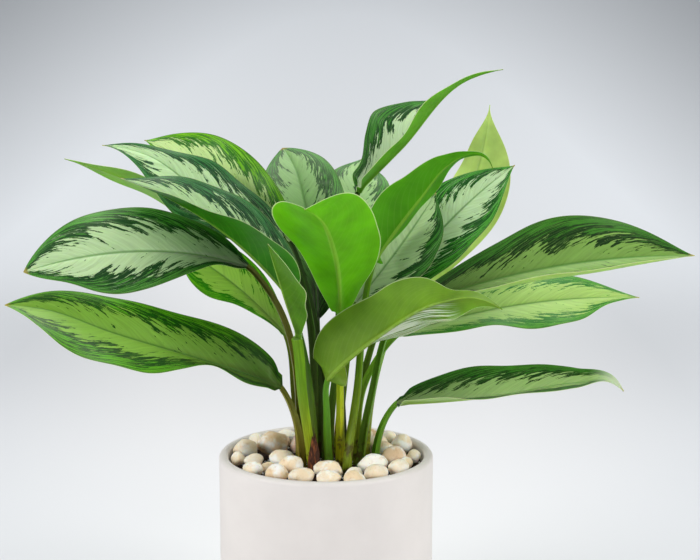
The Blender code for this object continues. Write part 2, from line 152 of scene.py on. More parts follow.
def matte_stoneware_glaze():
    """Matte off-white glaze on stoneware: warm, faintly mottled, with bare clay on the foot."""
    made, tree, shader, place = new_finish("matte_stoneware_glaze")
    mottle = put(tree, "TexNoise", {"Vector": place, "Scale": 1 / (30 * MM), "Detail": 3.0,
                                    "Roughness": 0.55})
    glaze = put(tree, "ValToRGB", [mottle], [(0.30, "#DCD5D0"), (0.70, "#E1DAD5")])
    speck = put(tree, "TexVoronoi", {"Vector": place, "Scale": 1 / (3.5 * MM)})
    fleck = put(tree, "MapRange", [speck, 0.05, 0.12, 0.16, 0.0])
    height = put(tree, "SeparateXYZ", [place]).outputs["Z"]
    bare = put(tree, "MapRange", [height, 1.2 * MM, 2.2 * MM, 1.0, 0.0])
    for share, tint in ((fleck, "#C3B6A6"), (bare, "#B79F86")):
        glaze = put(tree, "Mix", {0: share, 6: glaze, 7: linear(tint)}, data_type="RGBA")
    peel = put(tree, "TexNoise", {"Vector": place, "Scale": 1 / (2.2 * MM), "Detail": 2.0})
    feed(shader, {
        "Base Color": glaze, "IOR": 1.5, "Roughness": put(tree, "MapRange", [mottle, 0, 1, 0.42, 0.58]),
        "Normal": put(tree, "Bump", {"Height": peel, "Strength": 0.10, "Distance": 0.3 * MM})})
    return made


lip = POT_WALL / 2
inside = POT_RADIUS - POT_WALL
profile = arc((POT_RADIUS - lip, POT_TOP - lip), lip, 90, 0, 10)
profile += arc((POT_RADIUS - POT_EDGE, POT_EDGE), POT_EDGE, 0, -90, 8)
profile += [(0, 0), (0, POT_FLOOR)]
profile += arc((inside - POT_CORNER, POT_FLOOR + POT_CORNER), POT_CORNER, -90, 0, 6)
profile += arc((POT_RADIUS - lip, POT_TOP - lip), lip, 180, 90, 10)
outline = bpy.data.meshes.new("pot_outline")
outline.from_pydata([(r, 0, z) for r, z in profile],
                    [(i, i + 1) for i in range(len(profile) - 1)], [])
turning = bpy.data.objects.new("pot_turning", outline)
bpy.context.scene.collection.objects.link(turning)
screw = turning.modifiers.new("turn", "SCREW")
screw.steps = screw.render_steps = 160
screw.use_merge_vertices = True
screw.merge_threshold = 0.00001
pot_mesh = bpy.data.meshes.new_from_object(
    turning.evaluated_get(bpy.context.evaluated_depsgraph_get()))
bpy.data.objects.remove(turning)
add_piece("stoneware_pot", pot_mesh, [matte_stoneware_glaze()], "pot")


# ---------------------------------------------------------------- potting soil
# The pot is filled with moist peat and fine bark, which shows dark between the pebbles.
# Its top is rough, and loose crumbs lie on it.
soil_low, soil_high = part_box("potting_soil")
SOIL_TOP = soil_high.z
SOIL_RADIUS = (soil_high.x - soil_low.x) / 2


def moist_peat():
    """Peat and bark: near black when moist, with a few lighter fibres, and fully matte."""
    made, tree, shader, place = new_finish("moist_peat")
    crumb = put(tree, "TexNoise", {"Vector": place, "Scale": 1 / (2 * MM), "Detail": 5.0,
                                   "Roughness": 0.65})
    feed(shader, {
        "Base Color": put(tree, "ValToRGB", [crumb], [(0.30, "#1B110B"), (0.55, "#3A2618"),
                                                      (0.75, "#6B4A30")]), "Roughness": 0.92,
        "Normal": put(tree, "Bump", {"Height": crumb, "Strength": 0.8, "Distance": 0.8 * MM})})
    return made


SOIL_RINGS, SOIL_SPOKES = 40, 120
SOIL_SUNK = 1.2 * MM       # how far its rough top lies below the solid's, on average
SOIL_ROUGH, SOIL_LUMP = 0.9 * MM, 6 * MM      # height and width of the lumps of its top
SOIL_BASE = POT_FLOOR + 0.5 * MM
earth_shape = bmesh.new()
levels = [(SOIL_RADIUS * i / SOIL_RINGS, SOIL_TOP - SOIL_SUNK) for i in range(1, SOIL_RINGS + 1)]
levels += [(SOIL_RADIUS, SOIL_BASE + POT_CORNER), (SOIL_RADIUS - POT_CORNER, SOIL_BASE)]
rows = []
for r, z in levels:
    row = []
    for k in range(SOIL_SPOKES):
        turn = 2 * math.pi * k / SOIL_SPOKES
        spot = Vector((r * math.cos(turn), r * math.sin(turn), 0))
        lift = noise.fractal(spot / SOIL_LUMP, 1.0, 2.0, 4) * SOIL_ROUGH if z > SOIL_TOP / 2 else 0
        row.append(earth_shape.verts.new((spot.x, spot.y, z + lift)))
    rows.append(row)
for a, b in zip(rows, rows[1:]):
    for k in range(SOIL_SPOKES):
        n = (k + 1) % SOIL_SPOKES
        earth_shape.faces.new((a[k], b[k], b[n], a[n]))
for row, z in ((rows[0], SOIL_TOP - SOIL_SUNK), (rows[-1], SOIL_BASE)):
    hub = earth_shape.verts.new((0, 0, z))
    for k in range(SOIL_SPOKES):
        earth_shape.faces.new((hub, row[k], row[(k + 1) % SOIL_SPOKES]))
bmesh.ops.recalc_face_normals(earth_shape, faces=earth_shape.faces)
soil_mesh = bpy.data.meshes.new("soil_filling")
earth_shape.to_mesh(soil_mesh)
earth_shape.free()
peat = moist_peat()

BARK_CRUMBS = (2.0 * MM, 1.2 * MM, 2.6 * MM)  # spacing, then least and greatest width
GRAVEL_GRIT = (4.6 * MM, 1.8 * MM, 3.6 * MM)
CRUMB_CLEAR = 0.9 * MM     # left bare round each pebble
WALL_CLEAR = 3 * MM        # and along the pot's wall
taken = []                 # middle and half sizes of what stands on the soil
for node_name in frame["nodes"]:
    low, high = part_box(node_name)
    if node_name == "dry_sheath" or node_name.startswith("pebble_"):
        taken.append(((low + high) / 2, (high - low) / 2 + Vector((CRUMB_CLEAR, CRUMB_CLEAR, 0))))


def covered(spot):
    """Whether a pebble or the sheath stands on this spot of the soil."""
    return any(((spot.x - middle.x) / size.x) ** 2 + ((spot.y - middle.y) / size.y) ** 2 < 1
               for middle, size in taken)


bare = bmesh.new()
bare.from_mesh(soil_mesh)
bmesh.ops.delete(bare, geom=[f for f in bare.faces if f.calc_center_median().z < SOIL_TOP - 3 * MM
                             or f.calc_center_median().xy.length > SOIL_RADIUS - WALL_CLEAR
                             or covered(f.calc_center_median())], context="FACES")
bare_mesh = bpy.data.meshes.new("bare_soil")
bare.to_mesh(bare_mesh)
bare.free()


def scatter_nodes():
    """A node group that strews small rough lumps over a surface, and its inputs' identifiers."""
    tree = bpy.data.node_groups.new("strewn_lumps", "GeometryNodeTree")
    doors = {}
    for label, kind in (("Surface", "Geometry"), ("Spacing", "Float"), ("Smallest", "Float"),
                        ("Largest", "Float"), ("Seed", "Int"), ("Material", "Material")):
        doors[label] = tree.interface.new_socket(label, in_out="INPUT",
                                                 socket_type="NodeSocket" + kind).identifier
    tree.interface.new_socket("Lumps", in_out="OUTPUT", socket_type="NodeSocketGeometry")
    given = put(tree, "NodeGroupInput").outputs
    points = put(tree, "GeometryNodeDistributePointsOnFaces", {
        "Mesh": given["Surface"], "Distance Min": given["Spacing"], "Density Max": 4e6,
        "Seed": given["Seed"]}, distribute_method="POISSON")
    lump = put(tree, "GeometryNodeMeshUVSphere", {"Segments": 8, "Rings": 5, "Radius": 0.5})
    grain = put(tree, "TexNoise", {"Scale": 2.2, "Detail": 1.0}).outputs["Color"]
    rough = put(tree, "GeometryNodeSetPosition", {"Geometry": lump, "Offset": put(
        tree, "VectorMath", [grain, (0.5, 0.5, 0.5)], operation="SUBTRACT")})
    size = put(tree, "FunctionNodeRandomValue", {2: given["Smallest"], 3: given["Largest"],
                                                 "Seed": given["Seed"]})
    flat = put(tree, "CombineXYZ", [size] + [
        put(tree, "Math", [size, share], operation="MULTIPLY") for share in (0.75, 0.6)])
    turn = put(tree, "FunctionNodeRandomValue", {0: (-0.4, -0.4, 0.0), 1: (0.4, 0.4, 6.28),
                                                 "Seed": given["Seed"]}, data_type="FLOAT_VECTOR")
    strewn = put(tree, "GeometryNodeInstanceOnPoints", {
        "Points": points, "Instance": rough, "Rotation": turn, "Scale": flat})
    real = put(tree, "GeometryNodeRealizeInstances", {"Geometry": strewn})
    skin = put(tree, "GeometryNodeSetMaterial", {"Geometry": real, "Material": given["Material"]})
    put(tree, "NodeGroupOutput", [skin])
    return tree, doors


def strew(name, spacing, smallest, largest, seed, material):
    """Lumps strewn over the bare soil, as a plain mesh."""
    ground = bpy.data.objects.new(name, bare_mesh)
    bpy.context.scene.collection.objects.link(ground)
    strewer = ground.modifiers.new("strewn", "NODES")
    strewer.node_group = lumps
    for label, value in (("Spacing", spacing), ("Smallest", smallest), ("Largest", largest),
                         ("Seed", seed), ("Material", material)):
        strewer[lump_doors[label]] = value
    bpy.context.view_layer.update()
    made = bpy.data.meshes.new_from_object(ground.evaluated_get(
        bpy.context.evaluated_depsgraph_get()))
    bpy.data.objects.remove(ground)
    return made


def fine_gravel():
    """Grit of pale quartz and limestone, dusty with soil."""
    made, tree, shader, place = new_finish("fine_gravel")
    each = put(tree, "TexNoise", {"Vector": place, "Scale": 1 / (4.5 * MM), "Detail": 3.0})
    feed(shader, {"Roughness": 0.7, "Base Color": put(tree, "ValToRGB", [each], [
        (0.35, "#6E5A44"), (0.5, "#B8A386"), (0.65, "#E4D8C2")])})
    return made


lumps, lump_doors = scatter_nodes()
crumbs = strew("bark_crumbs", *BARK_CRUMBS, 5, peat)
grit = strew("gravel_grit", *GRAVEL_GRIT, 11, fine_gravel())
filled = bmesh.new()
for part_mesh, slot in ((soil_mesh, 0), (crumbs, 0), (grit, 1)):
    before = len(filled.faces)
    filled.from_mesh(part_mesh)
    filled.faces.ensure_lookup_table()
    for face in filled.faces[before:]:
        face.material_index = slot
filled.to_mesh(soil_mesh)
filled.free()
add_piece("soil_filling", soil_mesh, [peat, grit.materials[0]], "potting_soil")


# ---------------------------------------------------------------- leaves
# Twenty leaves, each one grown piece: a channelled stalk that stands in the soil, and a lance-shaped
# blade with a sunk midrib, lateral veins that sweep towards the tip and a drawn-out drip tip.
# The upper face is silver green with feathered dark green margins; the underside is plain green.
STALK_RINGS = 40
BLADE_RINGS = 96
ACROSS = (0.0, 0.02, 0.045, 0.08, 0.13, 0.20, 0.28, 0.37, 0.47, 0.57, 0.67, 0.76, 0.84, 0.91, 0.96,
          0.99, 1.0)       # places across a half blade, crowded at the midrib and at the edge
STALK_FOOT = 4.2           # half width of a stalk at the soil, in mm, as all below
STALK_NECK = 2.3
STALK_CHANNEL = 25         # degrees that a stalk's upper side rises to each edge
GROWN = 0.06               # share of the blade in which it opens out of the stalk
QUILT_DEEP = 0.28          # how deep the upper face sinks along a lateral vein
GROOVE_DEEP, GROOVE_HALF = 0.7, 1.5           # and along the midrib, which is this wide
SEAT_GAP = 0.3
VEIN_PITCH = 9.5           # between lateral veins at the midrib
VEIN_SWEEP = 0.22          # how far they sweep towards the tip, as a share of the blade
LEAF_CURL = ((-15, -15), (-15, -15))
RIM_THICK = 0.28
BLADE_THICK = 0.5

# foot: where the stalk stands; bend: a point that it passes; blade: points along the midrib, base to
# tip; face: the way the upper face looks; half: greatest half width (left, right, looking at the
# upper face with the tip up); widest: where; taper: how drawn out the tip is; fold: rise of each half
# out of flat, from base to tip, in degrees; curl: what the rise gains from midrib to edge; trim:
# shares of the half width, from base to tip; ahead: how far each margin runs ahead of the midrib, as
# a share of its width, from base to tip; wave: height and number of the margin's waves; neck: half
# width of the stalk at the blade; margin: where the green margin starts; shade: how dark the upper
# face is at its base, a painted shade; frost: how whitish it is at its tip; pale: an underside with
# whitish pleats, which are a painted sheen; silver, mid, dark, back: colours of the centre, the
# margin, its dark marks and the underside; stalk, base: those of the stalk at its top and at its
# foot. Some undersides and one margin are painted brighter as backlight, and some stalks and one
# underside darker as shade, as noted at each leaf.
LEAVES = {
    "leaf_01_low_left": dict(
        foot=(-20, -20), face=(0.1, -0.62, 0.79), half=(44, 41), widest=0.4, taper=0.85,
        blade=[(-37, -15, 224), (-72, -23, 240), (-103, -30, 252), (-169, -48, 277),
               (-221, -62, 299), (-251, -70, 304)],
        fold=((32, 16), (34, 17)), curl=((-10, -10), (-30, -20)),
        trim=((0.4, 0.45, 0.15, 0.55, 0.98, 1.2, 1.45, 1.5, 1), (1, 0.9, 0.85, 0.95, 1)), wave=(1.6, 3),
        margin=0.50, shade=0.34, silver="#84A844", mid="#5C9A1C", dark="#0E3209", back="#6E9A3C",
        stalk="#6E6A22", base="#7A6A20"),
    "leaf_02_mid_left": dict(
        foot=(-22, -8), bend=(-48, -10, 306), face=(-0.15, -0.85, 0.5), half=(39, 39), widest=0.52,
        taper=0.85, blade=[(-64, -16, 326), (-144, -65, 346), (-227, -110, 337)],
        fold=((14, 7), (12, 6)), curl=((-20, -20), (-20, -20)),
        trim=((0.5, 0.25, 0.45, 0.66, 0.85, 0.95, 0.97, 0.85, 1), (1, 1, 1.02, 1.06, 1.1)), margin=0.50,
        shade=0.42, silver="#AEC698", mid="#43802E", dark="#0C2E14", back="#6E9A3C", stalk="#5A5A20",
        base="#6A6418"),
    "leaf_03_far_left": dict(
        foot=(-18, 17), face=(-0.2, 0.5, 0.85), half=(20, 30), widest=0.42,
        blade=[(-45, 27, 327), (-134, 40, 376), (-223, 56, 407)], fold=((20, 10), (20, 10)), margin=0.5,
        silver="#A9C48A", mid="#5E9A22", dark="#1C4A20", back="#6A9626"),
    # Its dark stalk colours are painted shade, where it runs through the shaded heart of the plant.
    "leaf_04_upper_left": dict(
        foot=(-11, -4), face=(0.1, -0.7, 0.7), half=(34, 34), widest=0.45,
        blade=[(-36, 6, 346), (-104, 14, 384), (-147, 20, 413), (-186, 26, 421)],
        fold=((15, 8), (15, 8)), trim=((1, 1, 1, 0.75, 0.4), (1, 0.85, 0.9, 0.5, 0.6)), margin=0.52,
        silver="#AFCC9A", mid="#356C40", dark="#0C3220", back="#6E9A3C", stalk="#1C3008",
        base="#3A4A12"),
    # Its dark underside and dark stalk colours are painted shade, deep in the plant.
    "leaf_05_trough_left": dict(
        foot=(-8, -16), face=(0.55, -0.1, 0.8), half=(44, 42), widest=0.42,
        blade=[(-29, -22, 300), (-86, -35, 360), (-159, -60, 403)], fold=((72, 40, 24), (60, 40, 22)),
        margin=0.52, silver="#A3C08E", mid="#356C40", dark="#0C3220", back="#2A6606", stalk="#2E5208",
        base="#4A5A16"),
    # Its bright green margin colour is partly its own green and partly painted backlight glow; its dark
    # stalk colours are painted shade.
    "leaf_06_back_left": dict(
        foot=(0, 5), face=(0.0, -0.95, 0.35), half=(18, 33), widest=0.5,
        blade=[(-30, 22, 341), (-90, 56, 388), (-160, 98, 419)], fold=((25, 12), (25, 12)), margin=0.50,
        silver="#BED690", mid="#6EAE10", dark="#1E5A0A", back="#7FA83C", stalk="#1C3008",
        base="#3A4A12"),
    # Its dark stalk colours and its near black base are painted shade: it stands in shadow behind the
    # front leaf.
    "leaf_07_back": dict(
        foot=(-4, 20), face=(0.1, -0.8, 0.6), half=(37, 37), widest=0.6, taper=0.8,
        blade=[(-8, 27, 272), (-20, 72, 371), (-29, 100, 396), (-40, 122, 410)],
        fold=((22, 11), (18, 9)), trim=((1, 1.1, 1.05, 1, 1), (1.5, 1.4, 1, 1, 1.15)), margin=0.46,
        shade=0.05, silver="#7E9E66", mid="#3A7A26", dark="#0C3610", back="#6E9A3C", stalk="#26400C",
        base="#3A4A12"),
    # Its bright underside colour is painted backlight shining through the blade.
    "leaf_08_front": dict(
        foot=(12, -20), face=(0.0, 0.7, 0.7), half=(43, 43), widest=0.45,
        blade=[(12, -24, 287), (8, -72, 345), (-1, -113, 376), (-13, -150, 390)],
        fold=((14, 36), (16, 40)), curl=((5, 5), (5, 5)),
        trim=((0.6, 0.6, 0.8, 0.92, 0.92, 0.98, 1.06, 1.1, 1.1),
              (0.6, 0.6, 0.66, 0.86, 1.18, 1.38, 1.28, 1.05, 0.8)),
        ahead=((0, 0, 0, 0.1, 0.35), (0, 0, 0, -0.1, 0.25)), margin=0.5,
        silver="#B4CBA4", mid="#4A8A34", dark="#3A7A22", back="#5CA000", stalk="#8FA812",
        base="#B0AE1C"),
    # Its dark stalk colours are painted shade, where it runs through the shaded heart of the plant.
    "leaf_09_top_right": dict(
        foot=(13, 15), face=(-0.6, 0.0, 0.8), half=(42, 22), widest=0.25,
        blade=[(26, 26, 382), (62, 32, 417), (119, 24, 476), (146, 20, 484)],
        fold=((58, 34, 5), (27, 36, 40)), curl=((-5, -5), (-5, -5)),
        trim=((0.5, 0.5, 0.95, 1.38, 1.1, 0.2, 0.12, 0.2, 0.5),
              (1, 0.8, 0.65, 0.7, 0.85, 0.92, 0.8, 0.7, 0.7)), margin=0.50,
        silver="#B8D0A4", mid="#3A7A26", dark="#0C3610", back="#5E9424", stalk="#26400C",
        base="#3A4A12"),
    "leaf_10_back_small": dict(
        foot=(10, 27), face=(0.0, -0.8, 0.6), half=(32, 32), widest=0.6,
        blade=[(23, 36, 298), (25, 88, 373), (31, 128, 400)], fold=((20, 10), (20, 10)), margin=0.50,
        silver="#8CAA74", mid="#3A7A26", dark="#0C3610", back="#6E9A3C"),
    "leaf_11_curled_right": dict(
        foot=(18, -31), bend=(26, -16, 219), face=(-0.1, 0.95, 0.3), half=(22, 31), widest=0.35,
        blade=[(40, -10, 329), (78, -3, 380), (99, -6, 407), (113, -10, 416), (127, -14, 417),
               (135, -20, 406)], fold=((75, 38), (8, 4)),
        trim=((1, 1, 0.9, 0.5, 0.3), (1, 1, 1, 0.95, 0.8, 0.62, 0.4, 0.2, 0.3)), margin=0.5,
        silver="#B4CBA4", mid="#4A8A34", dark="#2C6034", back="#438600", stalk="#4F7A10",
        base="#6A7A16"),
    "leaf_12_upper_right": dict(
        foot=(22, 9), face=(-0.3, -0.8, 0.5), half=(33, 33), widest=0.5,
        blade=[(52, 25, 290), (110, 45, 360), (161, 60, 401)], fold=((20, 10), (20, 10)), margin=0.48,
        silver="#B4CEA0", mid="#469232", dark="#0E3E16", back="#7FA83C", stalk="#4F7014",
        base="#5E6A16"),
    # Its pale bright underside colour is painted backlight shining through the blade.
    "leaf_13_back_right": dict(
        foot=(33, 14), face=(0.4, 0.8, 0.1), half=(42, 42), widest=0.42, taper=1.7,
        blade=[(66, 42, 290), (121, 80, 364), (142, 95, 450)], fold=((12, 6), (55, 28)),
        trim=((0.3, 0.36, 0.46, 0.6, 0.76, 0.92, 1.1, 1.3, 1.4),
              (1, 0.9, 0.85, 0.85, 0.85, 0.85, 0.9, 1.2, 1.4)), margin=0.5,
        silver="#C4D6A4", mid="#7FB43C", dark="#4E8C1C", back="#CCEC84"),
    "leaf_14_inner_right": dict(
        foot=(3, -11), face=(-0.3, -0.8, 0.5), half=(34, 34), widest=0.5,
        blade=[(25, 5, 292), (62, 20, 337), (93, 44, 379)], fold=((35, 18), (15, 8)), margin=0.52,
        shade=0.6, silver="#A4C08A", mid="#357026", dark="#0C3610", back="#6E9A3C", stalk="#3E6414",
        base="#4A5A14"),
    "leaf_15_long_right": dict(
        foot=(29, -17), bend=(38, -13, 217), face=(0.0, -0.6, 0.8), half=(45, 45), widest=0.55,
        blade=[(60, -4, 286), (176, -18, 324), (298, -30, 337)], fold=((35, 18), (12, 6)),
        curl=((-15, -15), (60, 60)), trim=((0.6, 0.58, 0.65, 0.78, 0.93, 1, 1.02, 1, 1), (1, 1)),
        margin=0.42, shade=0.42, silver="#78964C", mid="#30651A", dark="#081F07", back="#8FB050",
        stalk="#4F7A18", base="#56701A"),
    "leaf_16_right": dict(
        foot=(27, -3), bend=(33, 6, 223), face=(0.0, -0.6, 0.8), half=(34, 34), widest=0.5,
        blade=[(60, 20, 261), (170, 45, 283), (271, 60, 286)], fold=((15, 8), (15, 8)),
        trim=((1, 1), (0.6, 0.6, 0.6, 0.62, 0.85, 0.92, 0.95, 0.5, 0.5)), margin=0.60, shade=0.75,
        silver="#A4C06C", mid="#5E9A3A", dark="#27682A", back="#8FB050", stalk="#5E8A1E",
        base="#7C8A1E"),
    "leaf_17_low_right": dict(
        foot=(40, -12), face=(0.0, -0.5, 0.85), half=(30, 30), widest=0.45,
        blade=[(59, -15, 211), (141, -45, 225), (200, -64, 240), (226, -71, 243), (236, -76, 236)],
        fold=((32, 16), (55, 28)), curl=((-10, -10), (-5, -5)),
        trim=((1, 1, 1, 0.97, 0.9, 0.82, 0.8, 0.92, 1.3), (1, 1)), margin=0.46, shade=0.5, frost=0.9,
        silver="#96AE70", mid="#33661E", dark="#0A260A", back="#8FB050", stalk="#5A8A1C",
        base="#4E7414"),
    # Its whitish pleats (pale) are a painted sheen.
    "leaf_18_front_right": dict(
        foot=(2, -27), bend=(1, -36, 203), face=(0.1, 0.95, -0.1), half=(31, 42), widest=0.3,
        blade=[(2, -41, 237), (44, -65, 278), (89, -97, 311), (117, -118, 318), (134, -130, 312)],
        fold=((112, 18), (12, 60)), curl=((-20, -20), (-10, -10)),
        trim=((1, 1), (0.95, 0.93, 0.85, 0.8, 0.88, 0.8, 0.42, 0.6, 0.8)), margin=0.5, pale=True,
        silver="#C9D8B8", mid="#5E9A3A", dark="#3A7A22", back="#62821A", stalk="#4A7A16",
        base="#3E5A12"),
    "leaf_19_lower_left": dict(
        foot=(-22, 5), bend=(-27, 15, 210), face=(-0.1, -0.7, 0.7), half=(26, 26), widest=0.58,
        blade=[(-34, 13, 263), (-77, 26, 303), (-128, 44, 333)], fold=((15, 8), (22, 11)),
        trim=((0.5, 0.4, 0.45, 0.6, 0.8, 0.93, 1, 1, 1), (1, 1)), margin=0.60, silver="#98BC50",
        mid="#5FA01C", dark="#226A0C", back="#6E9A3C", stalk="#6A7A1E", base="#7A6A1C"),
    "leaf_20_rolled": dict(
        foot=(-10, -30), bend=(-17, -40, 227), face=(0.95, 0.1, 0.3), half=(25, 25), widest=0.6,
        neck=5.2, blade=[(-21, -44, 273), (-33, -67, 315), (-43, -86, 355)], fold=((52, 26), (50, 25)),
        curl=((-10, -10), (-10, -10)), trim=((1, 1, 1.1, 1.4, 1.9), (1, 0.9, 0.8, 0.7, 0.7)),
        margin=0.5, silver="#8FB04A", mid="#5E9A22", dark="#3E7A1C", back="#456E06", stalk="#587F0C",
        base="#8A921A"),
}


def tangents(knots, first=None, last=None):
    """The direction of a smooth curve at each of its points."""
    ways = [None] * len(knots)
    for i in range(1, len(knots) - 1):
        back, ahead = knots[i] - knots[i - 1], knots[i + 1] - knots[i]
        ways[i] = (back.normalized() * ahead.length + ahead.normalized() * back.length).normalized()
    start, end = (knots[1] - knots[0]).normalized(), (knots[-1] - knots[-2]).normalized()
    ways[0] = (first or 2 * start - (ways[1] or start)).normalized()
    ways[-1] = (last or 2 * end - (ways[-2] or end)).normalized()
    return ways


def along(knots, ways, count):
    """Points evenly spaced by chord along the smooth curve through the knots."""
    reach = [0.0]
    for a, b in zip(knots, knots[1:]):
        reach.append(reach[-1] + (b - a).length)
    points = []
    for step in range(count + 1):
        x = reach[-1] * step / count
        i = max(k for k in range(len(knots) - 1) if reach[k] <= x + 1e-9 or k == 0)
        d = reach[i + 1] - reach[i]
        t = (x - reach[i]) / d
        points.append((2 * t**3 - 3 * t**2 + 1) * knots[i] + (t**3 - 2 * t**2 + t) * d * ways[i]
                      + (3 * t**2 - 2 * t**3) * knots[i + 1] + (t**3 - t**2) * d * ways[i + 1])
    return points


def spine(leaf):
    """The leaf's middle line: the stalk from the soil, then the midrib to the tip."""
    blade = [Vector(p) for p in leaf["blade"]]
    blade_ways = tangents(blade)
    foot = Vector((*leaf["foot"], SOIL_TOP / MM + SEAT_GAP))
    stalk = [foot] + ([Vector(leaf["bend"])] if "bend" in leaf else []) + [blade[0]]
    arrive = 0.5 * blade_ways[0] + 0.7 * (stalk[-1] - stalk[-2]).normalized()
    stalk_ways = tangents(stalk, first=Vector((0, 0, 1)), last=arrive)
    return along(stalk, stalk_ways, STALK_RINGS)[:-1] + along(blade, blade_ways, BLADE_RINGS)


def spread(values, share):
    """A smooth curve through values that lie evenly from 0 to 1."""
    x = share * (len(values) - 1)
    i = min(int(x), len(values) - 2)
    t = x - i
    a, b = values[i], values[i + 1]
    before = values[i - 1] if i > 0 else 2 * a - b
    after = values[i + 2] if i + 2 < len(values) else 2 * b - a
    return 0.5 * (2 * a + (b - before) * t + (2 * before - 5 * a + 4 * b - after) * t**2
                  + (3 * a - before - 3 * b + after) * t**3)


def half_width(share, widest, taper):
    """The blade's half width as a share of its greatest, from 0 at the base to 1 at the tip."""
    turn = math.pi * min(1.0, share ** (math.log(0.5) / math.log(widest)))
    return max(0.0, math.sin(turn)) ** (0.6 + (taper - 0.6) * share**3)


def leaf_mesh(name, leaf, seed):
    """One closed loft. Its UV map holds the share along the blade and the share out to the edge."""
    points = spine(leaf)
    total = len(points)
    ways = [(points[min(i + 1, total - 1)] - points[max(i - 1, 0)]).normalized() for i in range(total)]
    ways[0] = Vector((0, 0, 1))
    face = Vector(leaf["face"]).normalized()
    tops = [None] * total
    for i in range(STALK_RINGS, total):
        tops[i] = (face - ways[i] * face.dot(ways[i])).normalized()
    for i in range(STALK_RINGS - 1, -1, -1):
        tops[i] = (tops[i + 1] - ways[i] * tops[i + 1].dot(ways[i])).normalized()
    length = sum((b - a).length for a, b in zip(points[STALK_RINGS:], points[STALK_RINGS + 1:]))
    trim = leaf.get("trim", ((1, 1), (1, 1)))
    ahead = leaf.get("ahead", ((0, 0), (0, 0)))
    height, count = leaf.get("wave", (1.2, 3.0))
    steps = len(ACROSS)
    coords, maps = [], []
    for i, (point, way, top) in enumerate(zip(points, ways, tops)):
        side = way.cross(top)
        share = max(0.0, (i - STALK_RINGS) / BLADE_RINGS)
        grown = min(1.0, share / GROWN)
        grown = grown * grown * (3 - 2 * grown)
        upper, lower = [], []
        for k, sign in enumerate((-1, 1)):
            neck = leaf.get("neck", STALK_NECK)
            stalk_wide = neck + (STALK_FOOT - neck) * max(0, 1 - i / STALK_RINGS) ** 1.3
            wide = leaf["half"][k] * half_width(share, leaf["widest"], leaf.get("taper", 1.15))
            wide *= spread(trim[k], share)
            wide = max(wide, stalk_wide * (1 - share) * (1 if share < 0.05 else 0.2) + 0.35)
            fold, curl = spread(leaf["fold"][k], share), spread(leaf.get("curl", LEAF_CURL)[k], share)
            x = z = 0.0
            row = []
            for j, t in enumerate(ACROSS):
                if j:
                    middle = (t + ACROSS[j - 1]) / 2
                    angle = math.radians((fold + curl * middle) * grown)
                    if i < STALK_RINGS or share < 0.02:
                        angle = math.radians(STALK_CHANNEL)
                    step = (t - ACROSS[j - 1]) * wide
                    x += step * math.cos(angle)
                    z += step * math.sin(angle)
                out = t * wide
                ruffle = height * math.sin(2 * math.pi * (count * share + 0.37 * seed + 0.21 * k))
                wave = ruffle * t**2.2 * math.sin(math.pi * share) ** 0.7 * grown
                vein = (share * length + VEIN_SWEEP * length * math.log(1.04 - t)) / VEIN_PITCH + 0.5 * k
                ridge = abs((vein % 1.0) - 0.5) * 2
                quilt = -QUILT_DEEP * (1 - ridge) ** 3 * grown
                quilt *= math.sin(math.pi * min(1, t * 1.1)) ** 0.5
                groove = -GROOVE_DEEP * math.exp(-(out / GROOVE_HALF) ** 2) * (1 - share) ** 0.5
                keel = -(2.6 * (1 - share) + 0.3) * 0.55 * math.exp(-(out / (2.3 - share)) ** 2)
                thick = BLADE_THICK + (RIM_THICK - BLADE_THICK) * t**3
                if share == 0:
                    round_off = math.sqrt(max(0.0, 1 - t * t))
                    groove, quilt, wave = -0.15 * stalk_wide, 0, 0
                    keel, thick = -1.15 * stalk_wide * round_off, 0.6
                elif share < GROWN:
                    keel *= 1 + (1 - grown)
                base = point + sign * side * x + top * z + way * spread(ahead[k], share) * x
                lift = top * math.cos(math.radians(fold * grown * 0.6)) - sign * side * math.sin(
                    math.radians(fold * grown * 0.6))
                row.append((base + lift * (wave + quilt + groove + thick / 2),
                            base + lift * (wave + quilt + keel - thick / 2), sign * t))
            if sign < 0:
                row = row[:0:-1]
            upper += [(u, t) for u, _, t in row]
            lower += [(d, t) for _, d, t in row]
        mark = share if i >= STALK_RINGS else (i - STALK_RINGS) / STALK_RINGS
        for spot, t in upper + lower[::-1]:
            coords.append(spot * MM)
            maps.append((mark, t))
    around = len(coords) // total
    wide_row = around // 2
    faces, kinds = [], []
    for i in range(total - 1):
        for k in range(around):
            n = (k + 1) % around
            faces.append((i * around + k, i * around + n, (i + 1) * around + n, (i + 1) * around + k))
            if i < STALK_RINGS:
                kinds.append(2)
            else:
                kinds.append(0 if k < wide_row - 1 else 1)
    for first in (0, (total - 1) * around):
        for k in range(wide_row - 1):
            faces.append((first + k, first + k + 1, first + around - 2 - k, first + around - 1 - k))
            kinds.append(2 if first == 0 else 0)
    mesh = bpy.data.meshes.new(name)
    mesh.from_pydata(coords, [], faces)
    mesh.polygons.foreach_set("material_index", kinds)
    uv = mesh.uv_layers.new(name="blade")
    for loop in mesh.loops:
        uv.data[loop.index].uv = maps[loop.vertex_index]
    shape = bmesh.new()
    shape.from_mesh(mesh)
    bmesh.ops.recalc_face_normals(shape, faces=shape.faces)
    shape.to_mesh(mesh)
    shape.free()
    return mesh, length


def painted(tree, colour, layers):
    """Soft layers over a colour: (value, where it starts, where it ends, shares there, tint)."""
    for value, start, end, first, last, tint in layers:
        share = put(tree, "MapRange", [value, start, end, first, last],
                    interpolation_type="SMOOTHSTEP")
        tint = linear(tint) if isinstance(tint, str) else tint
        colour = put(tree, "Mix", {0: share, 6: colour, 7: tint}, data_type="RGBA")
    return colour


